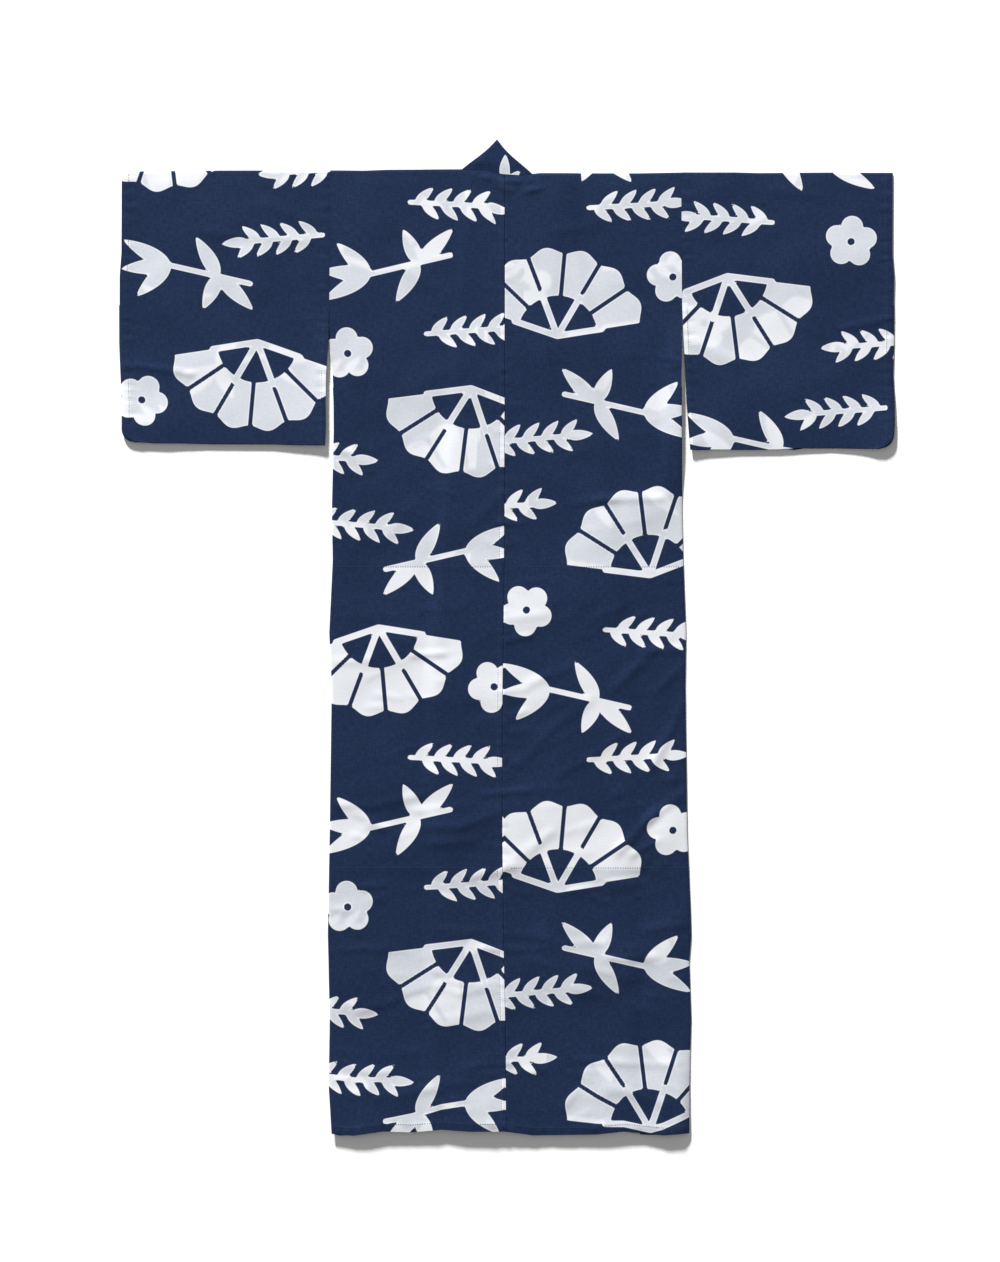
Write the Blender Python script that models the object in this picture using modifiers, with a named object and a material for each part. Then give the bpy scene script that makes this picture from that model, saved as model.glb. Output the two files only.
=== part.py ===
"""A cotton yukata robe laid flat, with its back up and its fronts closed underneath.

Metres, +Z up. The origin is on the surface the robe rests on, at the middle of its outline.
+Y runs towards the collar and -X is the wearer's left. Lengths "down" are measured from the
shoulder fold towards the hem, and lengths "out" from the centre back seam towards a side.
A side is -1 for the left and 1 for the right. Each cut piece of cloth is one sheet of
points through the middle of its wall, which is then thickened.
"""

import math

import bmesh
import bpy
import numpy as np

# Cloth
CLOTH = 0.0010  # wall of one layer
BAND = 0.0016  # wall of the collar, which is folded double
GAP = 0.0003  # between pieces at a seam, and between layers
LAYER = CLOTH + GAP
BEND = LAYER / 2  # from the edge of a layer to the middle of the fold that turns it back

# The cut
LENGTH = 1.667  # shoulder fold to hem
FRONT_WIDTH = 0.240  # side seam to the seam of the overlap panel, at the hem
OVERLAP_WIDTH = 0.150
OVERLAP_TOP = 0.230  # down from the shoulder to the point of the overlap panel
COLLAR_WIDTH = 0.055
COLLAR_END = LENGTH - 0.800  # down from the shoulder to the ends of the collar
ARMHOLE = 0.230  # the sleeve is sewn on down to here
CUFF_OPENING = 0.230  # the sleeve's outer edge is open down to here
SIDE_OPENING = 0.370  # the side seam starts here
SLEEVE_CORNER = 0.022  # radius of the outer bottom corner of a sleeve
LINING_TOP = 0.685
LINING_END = LINING_TOP + 0.522
LINING_INSET = 0.006  # from the side folds of the body

# Where it lies
SEAM_X = -0.0048  # the centre back seam
SHOULDER_Y = 0.8097
NECK_OUT = {-1: 0.0735, 1: 0.0480}  # each corner of the neck
PEAK_OUT = {-1: 0.0170, 1: -0.0090}  # the ends of the collar's short top edge
PEAK_RISE = 0.0500
NECK_CLEAR = 0.0008  # of the shoulder fold, round the fold of the collar
RAMP = 0.030  # how fast a layer settles beyond the edge of one below it
MARGIN = 0.045  # how far past that edge it starts to settle

# Side edges of the body, as they lie, and how far the centre back seam wanders
BODY_EDGE = (
    # down, left out, right out, seam
    (0.000, 0.3030, 0.3070, 0.0000),
    (0.230, 0.3045, 0.3085, 0.0000),
    (0.300, 0.3058, 0.3085, 0.0000),
    (0.345, 0.2990, 0.3074, 0.0000),
    (0.400, 0.2964, 0.3072, 0.0000),
    (0.450, 0.2960, 0.3072, -0.0002),
    (0.590, 0.2993, 0.3080, -0.0006),
    (0.675, 0.2976, 0.3097, -0.0010),
    (0.800, 0.3036, 0.3145, -0.0024),
    (0.890, 0.2993, 0.3132, -0.0036),
    (1.020, 0.3010, 0.3149, -0.0043),
    (1.150, 0.3028, 0.3166, -0.0043),
    (1.265, 0.3050, 0.3220, -0.0030),
    (1.325, 0.3062, 0.3236, -0.0018),
    (1.370, 0.3050, 0.3201, -0.0010),
    (1.470, 0.3028, 0.3236, 0.0010),
    (1.585, 0.3045, 0.3201, 0.0022),
    (LENGTH, 0.2993, 0.3201, 0.0026),
)

# Sleeves as they lie: how far the inner edge has opened from the body, and the outer edge
SLEEVE_EDGE = (
    # down, left gap, left out, right gap, right out
    (0.000, 0.0000, 0.6645, 0.0000, 0.6740),
    (0.140, 0.0000, 0.6650, 0.0000, 0.6735),
    (0.180, 0.0000, 0.6680, 0.0000, 0.6767),
    (0.230, 0.0000, 0.6682, 0.0000, 0.6758),
    (0.300, 0.0016, 0.6680, 0.0030, 0.6755),
    (0.350, 0.0053, 0.6660, 0.0054, 0.6740),
    (0.400, 0.0058, 0.6636, 0.0075, 0.6765),
    (0.440, 0.0055, 0.6636, 0.0105, 0.6765),
    (0.480, 0.0072, 0.6636, 0.0137, 0.6735),
)
SLEEVE_DROP = {-1: 0.4723, 1: 0.4818}

# The shoulder fold and the hem aren't quite straight
SHOULDER_RISE = (
    # out to the right, rise
    (-0.664, 0.0010),
    (-0.480, 0.0025),
    (-0.304, -0.0010),
    (-0.240, 0.0028),
    (-0.075, 0.0058),
    (0.050, -0.0012),
    (0.185, -0.0030),
    (0.304, 0.0000),
    (0.674, -0.0018),
)
HEM_DROP = (
    # out to the right, drop
    (-0.299, 0.0010),
    (-0.260, 0.0040),
    (-0.210, -0.0035),
    (-0.160, -0.0020),
    (-0.110, -0.0065),
    (-0.060, -0.0030),
    (0.000, -0.0035),
    (0.050, 0.0035),
    (0.160, 0.0020),
    (0.207, -0.0035),
    (0.275, 0.0035),
    (0.320, 0.0000),
)
EASE = 0.250  # how far from the shoulder or the hem their wavering dies away

# The lower edges have curled a little off the surface
HEM_LIFT = 0.0042
HEM_SWING = 0.0014  # how much more or less the hem has lifted in places
HEM_WAVE = 0.600  # length of that wave along the hem
HEM_LOW_X = 0.100  # where it lies lowest
HEM_CURL = 0.200  # how far above the hem the lift dies away
SLEEVE_LIFT = (
    # x, lift
    (-0.650, 0.0021),
    (-0.590, 0.0026),
    (-0.520, 0.0013),
    (-0.410, 0.0014),
    (-0.320, 0.0029),
    (0.326, 0.0028),
    (0.402, 0.0013),
    (0.500, 0.0011),
    (0.560, 0.0003),
    (0.600, 0.0010),
    (0.648, 0.0032),
)
SLEEVE_CURL = 0.120

# The largest soft folds of the upper layer, each a low ridge
FOLDS = (
    # x, down, to x, to down, half width, height
    (0.165, 0.640, 0.300, 0.540, 0.036, 0.0012),
    (0.020, 0.760, 0.230, 0.700, 0.042, 0.0009),
    (0.190, 1.205, 0.300, 1.130, 0.034, 0.0013),
    (0.060, 1.120, 0.170, 1.085, 0.036, 0.0008),
    (-0.280, 1.085, -0.110, 1.055, 0.034, 0.0011),
    (-0.230, 1.175, -0.060, 1.125, 0.034, 0.0013),
    (-0.285, 0.850, -0.180, 0.820, 0.038, 0.0009),
    (-0.210, 0.400, -0.060, 0.330, 0.042, 0.0008),
    (0.080, 0.300, 0.260, 0.340, 0.042, 0.0008),
    (-0.240, 1.420, -0.040, 1.460, 0.042, 0.0009),
    (0.060, 1.400, 0.270, 1.350, 0.040, 0.0010),
    (-0.620, 0.350, -0.480, 0.330, 0.034, 0.0010),
    (-0.520, 0.150, -0.380, 0.230, 0.042, 0.0008),
    (0.420, 0.200, 0.600, 0.130, 0.042, 0.0008),
    (0.400, 0.390, 0.560, 0.350, 0.038, 0.0010),
)
FOLD_TAPER = 1.6  # how fast a fold dies away past its ends, in half widths
EDGE_SHARE = 0.25  # of a fold's height, left at the edge of a panel
EDGE_FADE = 0.060  # in from the edge, over which the rest comes back

# How finely the sheets are cut into sections
ROW_STEP = 0.042
HIDDEN_STEP = 0.080
FRONT_COLUMNS = 6
NECK_COLUMNS = 3
OVERLAP_COLUMNS = 4
SLEEVE_COLUMNS = 10
NECK_SECTIONS = 4
CORNER_ANGLES = (30, 55, 90)
BAND_SHARES = (0.0, 0.5, 1.0)
OVERLAP_TIP = 0.014  # the overlap panel starts this far below its point
COLLAR_START = 0.0055  # and the collar's runs this far below the shoulder fold

NAMES = {-1: "left", 1: "right"}
INDIGO = (0.0185, 0.0330, 0.0760)
WHITE = (0.80, 0.82, 0.85)


def smooth(value):
    """0 up to 0 and 1 from 1, with an S between."""
    t = min(max(value, 0.0), 1.0)
    return t * t * (3 - 2 * t)


def mix(first, second, share):
    return tuple(a + (b - a) * share for a, b in zip(first, second))


def from_table(rows, column, station):
    """Reads one column of a table at a station between its rows."""
    return float(np.interp(station, [row[0] for row in rows], [row[column] for row in rows]))


def stations(*marks, step):
    """Evenly spaced stations that pass through each of the marks."""
    found = [marks[0]]
    for low, high in zip(marks, marks[1:]):
        count = max(1, round((high - low) / step))
        found += [low + (high - low) * number / count for number in range(1, count + 1)]
    return found


# The lie of the pieces, seen from above


def side_edge(side, down):
    """X of the body's outer edge."""
    return SEAM_X + side * from_table(BODY_EDGE, 1 if side < 0 else 2, down)


def neck_corner(side):
    return SEAM_X + side * NECK_OUT[side]


def front_edge(side):
    """X of the front edge of the overlap panel, which reaches past the middle."""
    return side_edge(side, LENGTH) - side * (FRONT_WIDTH + OVERLAP_WIDTH)


def collar_seam(side, down):
    """X of the seam between collar and front, straight from the neck to the collar's end."""
    end = front_edge(side) + side * COLLAR_WIDTH
    return neck_corner(side) + (end - neck_corner(side)) * down / COLLAR_END


def overlap_seam(side, down):
    """X of the seam between front and overlap panel, straight from the hem to its point."""
    point = collar_seam(side, OVERLAP_TOP)
    hem = side_edge(side, LENGTH) - side * FRONT_WIDTH
    return point + (hem - point) * (down - OVERLAP_TOP) / (LENGTH - OVERLAP_TOP)


def free_edge(side, down):
    """X of the inner edge of a front: its collar's, and lower down its overlap panel's."""
    if down >= COLLAR_END:
        return front_edge(side)
    return collar_seam(side, down) - side * COLLAR_WIDTH


def y_at(x, down):
    """World Y of a station, with the wavering of the shoulder fold and of the hem."""
    rise = from_table(SHOULDER_RISE, 1, x - SEAM_X) * smooth(1 - down / EASE)
    drop = from_table(HEM_DROP, 1, x - SEAM_X) * smooth(1 - (LENGTH - down) / EASE)
    return SHOULDER_Y - down + rise - drop


# The heights of the layers


def covered(edge, side, x, margin=MARGIN):
    """1 where the front of that side covers x, easing to 0 past its edge."""
    return smooth(1 + (margin + side * (x - edge)) / RAMP)


def hem_lift(x, down):
    """How far the cloth has curled off the floor towards the hem."""
    wave = math.cos(2 * math.pi * (x - HEM_LOW_X) / HEM_WAVE)
    return (HEM_LIFT - HEM_SWING * wave) * smooth(1 - (LENGTH - down) / HEM_CURL)


def sleeve_lift(side, x, down):
    """The same towards the bottom of a sleeve."""
    return from_table(SLEEVE_LIFT, 1, x) * smooth(1 - (SLEEVE_DROP[side] - down) / SLEEVE_CURL)


def front_height(side, x, down):
    """Underside of a front: the left one is on the floor, the right one lies over it."""
    lift = hem_lift(x, down)
    if side > 0:
        lift += (BAND + GAP) * covered(free_edge(-1, down), -1, x)
    return lift


def pile_height(x, down):
    """What the back, or its hip lining, lies on."""
    left = free_edge(-1, down)
    right = free_edge(1, down)
    both = covered(left, -1, x, 2 * MARGIN + RAMP) * covered(right, 1, x)
    low = min(collar_seam(-1, down), right)
    high = max(collar_seam(1, down), left)
    bands = covered(low, 1, x) * covered(high, -1, x) * covered(COLLAR_END, -1, down)
    return hem_lift(x, down) + LAYER + (BAND + GAP) * both + (BAND - CLOTH) * bands


def relief(x, down):
    """Height of the soft folds."""
    total = 0.0
    for start_x, start, end_x, end, half_width, height in FOLDS:
        run = (end_x - start_x, end - start)
        length = math.hypot(*run)
        along = ((x - start_x) * run[0] + (down - start) * run[1]) / length
        away = ((x - start_x) * run[1] - (down - start) * run[0]) / length
        past = max(0.0, -along, along - length)
        away /= half_width
        past /= FOLD_TAPER * half_width
        total += height * math.exp(-(away**2) - past**2)
    return total


def faded(inside):
    """How much of a fold is left this far in from the edge of a panel."""
    return smooth(EDGE_SHARE + inside / EDGE_FADE)


def back_height(x, down):
    """Middle of the back's wall, whose folds die away towards its side."""
    side = -1 if x < SEAM_X else 1
    inside = abs(side_edge(side, down) - x)
    lining = covered(LINING_TOP, 1, down, 0.0) * covered(LINING_END, -1, down, 0.0)
    folds = relief(x, down) * faded(inside)
    return pile_height(x, down) + LAYER * lining + CLOTH / 2 + folds


# Sheets of cloth


def material(name, colour):
    made = bpy.data.materials.new(name)
    made.use_nodes = True
    shader = made.node_tree.nodes["Principled BSDF"]
    shader.inputs["Base Color"].default_value = (*colour, 1)
    shader.inputs["Roughness"].default_value = 0.9
    return made


class Sheet:
    """A sheet of cloth grown from rows of points, to be thickened into a wall."""

    def __init__(self):
        self.mesh = bmesh.new()

    def rows(self, points):
        return [[self.mesh.verts.new(point) for point in row] for row in points]

    def strip(self, first, second):
        """Triangles between two rows, all split the same way, so that layers nest."""
        for column in range(len(first) - 1):
            a, b = first[column : column + 2]
            c, d = second[column : column + 2]
            halves = ((a, b, d), (a, d, c)) if a.co.x < b.co.x else ((a, b, c), (b, d, c))
            for half in halves:
                self.mesh.faces.new(half)

    def loft(self, rows):
        for first, second in zip(rows, rows[1:]):
            self.strip(first, second)

    def fold(self, first, second, push):
        """A fold that joins two rows, its middle pushed out beyond them."""
        middle = []
        for a, b in zip(first, second):
            x, y, z = (a.co + b.co) / 2
            middle.append((x + push[0], y + push[1], z))
        crest = self.rows([middle])[0]
        self.loft([first, crest, second])
        return crest

    def finish(self, name, wall, colour, collection):
        bmesh.ops.recalc_face_normals(self.mesh, faces=self.mesh.faces)
        data = bpy.data.meshes.new(name)
        self.mesh.to_mesh(data)
        self.mesh.free()
        data.materials.append(material(name, colour))
        data.shade_smooth()
        made = bpy.data.objects.new(name, data)
        collection.objects.link(made)
        thicken = made.modifiers.new("wall", "SOLIDIFY")
        thicken.thickness = wall
        thicken.offset = 0


def body_stations():
    return stations(0.0, ARMHOLE, SIDE_OPENING, LINING_TOP, LINING_END, LENGTH, step=ROW_STEP)


def front_row(side, down):
    """Points of a body panel's front, from its inner seam out to its side."""
    inner = collar_seam(side, down) if down < OVERLAP_TOP else overlap_seam(side, down)
    inner += side * GAP / 2
    outer = side_edge(side, down) - side * BEND
    row = []
    for column in range(FRONT_COLUMNS + 1):
        x = inner + (outer - inner) * column / FRONT_COLUMNS
        row.append((x, y_at(x, down), front_height(side, x, down) + CLOTH / 2))
    return row


def back_row(side, down):
    """Points of a body panel's back, from its side in to the centre back seam."""
    outer = side_edge(side, down) - side * BEND
    middle = neck_corner(side) + side * GAP / 2
    centre = SEAM_X + from_table(BODY_EDGE, 3, down) + side * GAP / 2
    across = [outer + (middle - outer) * number / FRONT_COLUMNS for number in range(FRONT_COLUMNS)]
    across += [middle + (centre - middle) * number / NECK_COLUMNS for number in range(NECK_COLUMNS + 1)]
    return [(x, y_at(x, down), back_height(x, down)) for x in across]


def build_body(side, collection):
    """Front and back in one length, folded over the shoulder and sewn down the side."""
    sheet = Sheet()
    downs = body_stations()
    fronts = sheet.rows(front_row(side, down) for down in downs)
    backs = sheet.rows(back_row(side, down) for down in downs)
    sheet.loft(fronts)
    sheet.loft(backs)
    sewn = [number for number, down in enumerate(downs) if down > SIDE_OPENING - GAP]
    front_side = [fronts[number][-1] for number in sewn]
    back_side = [backs[number][0] for number in sewn]
    sheet.fold(front_side, back_side, (side * BEND, 0.0))
    shoulder = backs[0][: FRONT_COLUMNS + 1]
    crest = sheet.fold(fronts[0], shoulder[::-1], (0.0, BEND))
    crest[0].co.x += side * NECK_CLEAR
    sheet.finish(f"body_{NAMES[side]}", CLOTH, INDIGO, collection)


def build_overlap(side, collection):
    """The panel between a front and its edge, from a point under the collar to the hem."""
    sheet = Sheet()
    points = []
    beside_collar = stations(OVERLAP_TOP + OVERLAP_TIP, COLLAR_END, step=HIDDEN_STEP)
    below_collar = stations(COLLAR_END + GAP, LINING_END, LENGTH, step=ROW_STEP)
    for down in beside_collar + below_collar:
        outer = overlap_seam(side, down) - side * GAP / 2
        inner = collar_seam(side, down) + side * GAP / 2
        if down > COLLAR_END:
            inner = front_edge(side)
        row = []
        for column in range(OVERLAP_COLUMNS + 1):
            x = outer + (inner - outer) * column / OVERLAP_COLUMNS
            row.append((x, y_at(x, down), front_height(side, x, down) + CLOTH / 2))
        points.append(row)
    sheet.loft(sheet.rows(points))
    sheet.finish(f"overlap_{NAMES[side]}", CLOTH, INDIGO, collection)


def sleeve_stations(side):
    """Down to the corner's start, then closer together round it."""
    bottom = SLEEVE_DROP[side] - BEND
    start = bottom - SLEEVE_CORNER
    turned = [start + SLEEVE_CORNER * math.sin(math.radians(angle)) for angle in CORNER_ANGLES]
    return stations(0.0, CUFF_OPENING, start, step=ROW_STEP) + turned


def sleeve_outer(side, down):
    """X of a sleeve's outer edge, with its rounded bottom corner."""
    out = from_table(SLEEVE_EDGE, 2 if side < 0 else 4, down)
    into = down - (SLEEVE_DROP[side] - BEND - SLEEVE_CORNER)
    if into > 0:
        out -= SLEEVE_CORNER - math.sqrt(max(0.0, SLEEVE_CORNER**2 - into**2))
    return SEAM_X + side * out


def sleeve_row(side, down, upper):
    """Points of one layer of a sleeve, from the body out to the cuff."""
    gap = from_table(SLEEVE_EDGE, 1 if side < 0 else 3, down)
    inner = side_edge(side, min(down, ARMHOLE)) + side * (gap + GAP - BEND)
    outer = sleeve_outer(side, down) - side * BEND
    row = []
    for column in range(SLEEVE_COLUMNS + 1):
        x = inner + (outer - inner) * column / SLEEVE_COLUMNS
        z = CLOTH / 2 + sleeve_lift(side, x, down)
        if upper:
            inside = min(abs(x - inner), abs(x - outer), SLEEVE_DROP[side] - down)
            z += LAYER + relief(x, down) * faded(inside)
        row.append((x, y_at(x, down), z))
    return row


def build_sleeve(side, collection):
    """A flattened tube: folded at the top, seamed along the bottom and up to the cuff."""
    sheet = Sheet()
    downs = sleeve_stations(side)
    upper = sheet.rows(sleeve_row(side, down, True) for down in downs)
    lower = sheet.rows(sleeve_row(side, down, False) for down in downs)
    sheet.loft(upper)
    sheet.loft(lower)
    sheet.fold(upper[0], lower[0], (0.0, BEND))
    bottom = sheet.fold(upper[-1], lower[-1], (0.0, -BEND))
    sewn = [number for number, down in enumerate(downs) if down > CUFF_OPENING - GAP]
    upper_edge = [upper[number][-1] for number in sewn]
    lower_edge = [lower[number][-1] for number in sewn]
    cuff = sheet.fold(upper_edge, lower_edge, (side * BEND, 0.0))
    sheet.mesh.faces.new((upper_edge[-1], cuff[-1], bottom[-1]))
    sheet.mesh.faces.new((cuff[-1], lower_edge[-1], bottom[-1]))
    sheet.finish(f"sleeve_{NAMES[side]}", CLOTH, INDIGO, collection)


def collar_run(side):
    """Sections of the collar along one front, from the shoulder down to its end."""
    found = []
    for down in stations(COLLAR_START, COLLAR_END, step=HIDDEN_STEP):
        seam = collar_seam(side, down) - side * GAP / 2
        row = []
        for share in BAND_SHARES:
            x = seam + (free_edge(side, down) - seam) * share
            row.append((x, y_at(x, down), front_height(side, x, down) + BAND / 2))
        found.append(row)
    return found


def collar_turn(side):
    """The collar's slanting fold beside the neck, from its upper layer to its lower one."""
    corner_x = neck_corner(side) - side * GAP / 2
    corner = (corner_x, y_at(corner_x, 0.0) + NECK_CLEAR)
    peak = (SEAM_X + side * PEAK_OUT[side], SHOULDER_Y + PEAK_RISE)
    run = (peak[0] - corner[0], peak[1] - corner[1])
    outward = (side * run[1] / math.hypot(*run), -side * run[0] / math.hypot(*run))
    upper, middle, lower = [], [], []
    for share in BAND_SHARES:
        x, y = mix(corner, peak, share)
        low = front_height(side, x, 0.0) + BAND / 2
        high = max(back_height(x, 0.0) + (BAND - CLOTH) / 2, low + BAND + GAP)
        bend = (high - low) / 2
        upper.append((x, y, high))
        middle.append((x + outward[0] * bend, y + outward[1] * bend, low + bend))
        lower.append((x, y, low))
    return [upper, middle, lower]


def build_collar(collection):
    """One band from the left front, round the back of the neck, to the right front."""
    sheet = Sheet()
    left = collar_turn(-1)
    right = collar_turn(1)
    behind_neck = []
    for number in range(1, NECK_SECTIONS):
        row = [mix(a, b, number / NECK_SECTIONS) for a, b in zip(left[0], right[0])]
        seam_x = row[0][0]
        row[0] = (seam_x, y_at(seam_x, 0.0) + GAP, back_height(seam_x, 0.0) + (BAND - CLOTH) / 2)
        behind_neck.append(row)
    points = collar_run(-1)[::-1] + left[::-1] + behind_neck + right + collar_run(1)
    sheet.loft(sheet.rows(points))
    sheet.finish("collar", BAND, INDIGO, collection)


def build_lining(collection):
    """A plain cloth inside the back, over the hips: the back's own points, one layer lower."""
    sheet = Sheet()
    points = []
    for down in body_stations():
        if not LINING_TOP - GAP < down < LINING_END + GAP:
            continue
        halves = []
        for side in (-1, 1):
            half = back_row(side, down)
            inset = LINING_INSET / abs(half[1][0] - half[0][0])
            half[0] = mix(half[0], half[1], inset)
            halves.append(half)
        row = halves[0][:-1] + halves[1][::-1]
        points.append([(x, y, z - LAYER) for x, y, z in row])
    sheet.loft(sheet.rows(points))
    sheet.finish("hip_lining", CLOTH, WHITE, collection)


def main():
    for found in list(bpy.data.objects):
        bpy.data.objects.remove(found, do_unlink=True)
    robe = bpy.data.collections.new("yukata")
    bpy.context.scene.collection.children.link(robe)
    for side in (-1, 1):
        build_body(side, robe)
        build_overlap(side, robe)
        build_sleeve(side, robe)
    build_collar(robe)
    build_lining(robe)


main()
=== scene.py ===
"""A cotton yukata robe laid flat with its back up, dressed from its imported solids.

Metres, in the frame of the solids: +Z up, +Y towards the collar, -X the wearer's left.
"Down" is a length from the shoulder fold towards the hem, and "across" one from the centre
back seam towards a side. A side is -1 for the left and 1 for the right. Each cut piece is a
grid of cloth laid on the form of its solid, and the print is charted on the bolt from which
the pieces were cut, so it runs on over the shoulders and stops at the seams.
"""

import math

import bmesh
import bpy
import numpy as np
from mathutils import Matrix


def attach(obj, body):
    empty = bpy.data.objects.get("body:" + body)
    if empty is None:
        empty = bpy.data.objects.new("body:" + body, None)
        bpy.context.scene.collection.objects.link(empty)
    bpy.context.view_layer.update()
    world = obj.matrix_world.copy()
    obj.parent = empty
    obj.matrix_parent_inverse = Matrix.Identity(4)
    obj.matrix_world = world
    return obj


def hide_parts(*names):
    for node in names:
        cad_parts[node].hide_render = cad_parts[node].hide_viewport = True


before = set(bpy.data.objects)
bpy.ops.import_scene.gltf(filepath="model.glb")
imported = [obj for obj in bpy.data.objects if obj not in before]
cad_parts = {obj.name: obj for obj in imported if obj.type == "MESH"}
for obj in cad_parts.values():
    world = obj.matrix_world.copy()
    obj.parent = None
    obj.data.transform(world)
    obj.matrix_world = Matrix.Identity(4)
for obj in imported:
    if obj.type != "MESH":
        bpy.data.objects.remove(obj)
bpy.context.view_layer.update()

# The sizes of the solids. The collar's upper edge is finer here than in them.
CLOTH = 0.0010
BAND = 0.0016
GAP = 0.0003
LAYER = CLOTH + GAP
BEND = LAYER / 2
LENGTH = 1.667
FRONT_WIDTH = 0.240
OVERLAP_WIDTH = 0.150
OVERLAP_TOP = 0.230
COLLAR_WIDTH = 0.055
COLLAR_END = LENGTH - 0.800
ARMHOLE = 0.230
CUFF_OPENING = 0.230
SIDE_OPENING = 0.370
SLEEVE_CORNER = 0.022
LINING_TOP = 0.685
LINING_END = LINING_TOP + 0.522
LINING_INSET = 0.006
SEAM_X = -0.0048
SHOULDER_Y = 0.8097
NECK_OUT = {-1: 0.0735, 1: 0.0480}
PEAK_OUT = {-1: 0.0136, 1: -0.0124}
PEAK_RISE = 0.0548
PEAK_SAG = {-1: 0.0023, 1: 0.0032}  # its sides curve inwards so much
PEAK_POINT = 0.0009  # the collar's side folds run on so far, and meet in a point
NECK_CLEAR = 0.0008
RAMP = 0.030
MARGIN = 0.045
EASE = 0.250
HEM_CURL = 0.200
SLEEVE_CURL = 0.120
SLEEVE_DROP = {-1: 0.4723, 1: 0.4818}
FOLD_TAPER = 1.6
EDGE_SHARE = 0.25
EDGE_FADE = 0.060
COLLAR_START = 0.0055
OVERLAP_TIP = 0.014

BODY_EDGE = (
    # down, left across, right across, seam
    (0.000, 0.3030, 0.3070, 0.0000),
    (0.230, 0.3045, 0.3085, 0.0000),
    (0.300, 0.3058, 0.3085, 0.0000),
    (0.345, 0.2990, 0.3074, 0.0000),
    (0.400, 0.2964, 0.3072, 0.0000),
    (0.450, 0.2960, 0.3072, -0.0002),
    (0.590, 0.2993, 0.3080, -0.0006),
    (0.675, 0.2976, 0.3097, -0.0010),
    (0.800, 0.3036, 0.3145, -0.0024),
    (0.890, 0.2993, 0.3132, -0.0036),
    (1.020, 0.3010, 0.3149, -0.0043),
    (1.150, 0.3028, 0.3166, -0.0043),
    (1.265, 0.3050, 0.3220, -0.0030),
    (1.325, 0.3062, 0.3236, -0.0018),
    (1.370, 0.3050, 0.3201, -0.0010),
    (1.470, 0.3028, 0.3236, 0.0010),
    (1.585, 0.3045, 0.3201, 0.0022),
    (LENGTH, 0.2993, 0.3201, 0.0026),
)
SLEEVE_EDGE = (
    # down, left gap, left across, right gap, right across
    (0.000, 0.0000, 0.6645, 0.0000, 0.6740),
    (0.140, 0.0000, 0.6650, 0.0000, 0.6735),
    (0.180, 0.0000, 0.6680, 0.0000, 0.6767),
    (0.230, 0.0000, 0.6682, 0.0000, 0.6758),
    (0.300, 0.0016, 0.6680, 0.0030, 0.6755),
    (0.350, 0.0053, 0.6660, 0.0054, 0.6740),
    (0.400, 0.0058, 0.6636, 0.0075, 0.6765),
    (0.440, 0.0055, 0.6636, 0.0105, 0.6765),
    (0.480, 0.0072, 0.6636, 0.0137, 0.6735),
)


def metres(*rows):
    return [tuple(value / 1000 for value in row) for row in rows]


# Tables in millimetres. Here each row is a place across, from the centre seam to the right,
# and how much higher the shoulder line or lower the hem lies there. The first is finer than
# in the solids.
SHOULDER_RISE = metres(
    (-664, -0.2), (-577, 0.7), (-494, 1.6), (-286, 1.9), (-244, 1.4), (-203, 3.0),
    (-75, 3.7), (-26, 2.2), (-4, -4.5), (26, -6.2), (48, -4.6), (62, -3.0),
    (230, -3.3), (312, -1.8), (400, -1.7), (440, -2.8), (560, -1.9), (674, -2.6),
)
HEM_DROP = metres(
    (-299, 1.0), (-260, 4.0), (-210, -3.5), (-160, -2.0), (-110, -6.5), (-60, -3.0),
    (0, -3.5), (50, 3.5), (160, 2.0), (207, -3.5), (275, 3.5), (320, 0.0),
)

# Here it is a place along X, and how much lower the sleeves' bottom edges lie than in the
# solids, or how far a lower edge has curled off the floor, which is finer than in them
SLEEVE_SAG = metres(
    (-634, -3.3), (-612, -1.7), (-570, -1.6), (-509, 0.0), (-405, 0.2), (-363, 1.7),
    (-321, 1.9), (330, 0.3), (470, 0.0), (505, -2.4), (575, -2.4), (620, -1.5),
)
HEM_LIFT = metres(
    (-295, 4.9), (-200, 5.7), (-145, 5.2), (-112, 3.2), (-80, 4.5), (-30, 4.8),
    (12, 3.4), (70, 1.8), (120, 2.4), (170, 3.6), (210, 3.0), (240, 4.8),
    (300, 6.0), (309, 4.2), (317, 1.0),
)
SLEEVE_LIFT = metres(
    (-650, 2.6), (-590, 3.2), (-520, 1.9), (-410, 2.2), (-345, 3.6), (-320, 4.2),
    (326, 3.6), (402, 2.0), (500, 1.8), (560, 0.9), (600, 1.8), (648, 4.2),
)
SIDE_LIFT = 0.0055  # of the body's right side beside the sleeve's free edge
SIDE_LIFT_RISE = 0.100
SIDE_LIFT_END = 0.580
SIDE_LIFT_FALL = 0.120
FREE_LIFT = 0.0040  # of the left sleeve's free edge
FREE_LIFT_RISE = 0.120
LIFT_REACH = 0.045  # in from the edge

# Where a lower layer shows as a sliver beyond the upper one
PEEK_FADE = 0.030  # it starts to slip out so far above the edge
HEM_PEEK = metres(
    (-302, 0.0), (-290, 2.2), (-275, 0.0), (190, 0.0), (215, 2.6), (245, 1.8), (262, 0.0)
)
SLEEVE_PEEK = metres((478, 0.0), (500, 3.0), (520, 0.0))

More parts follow.
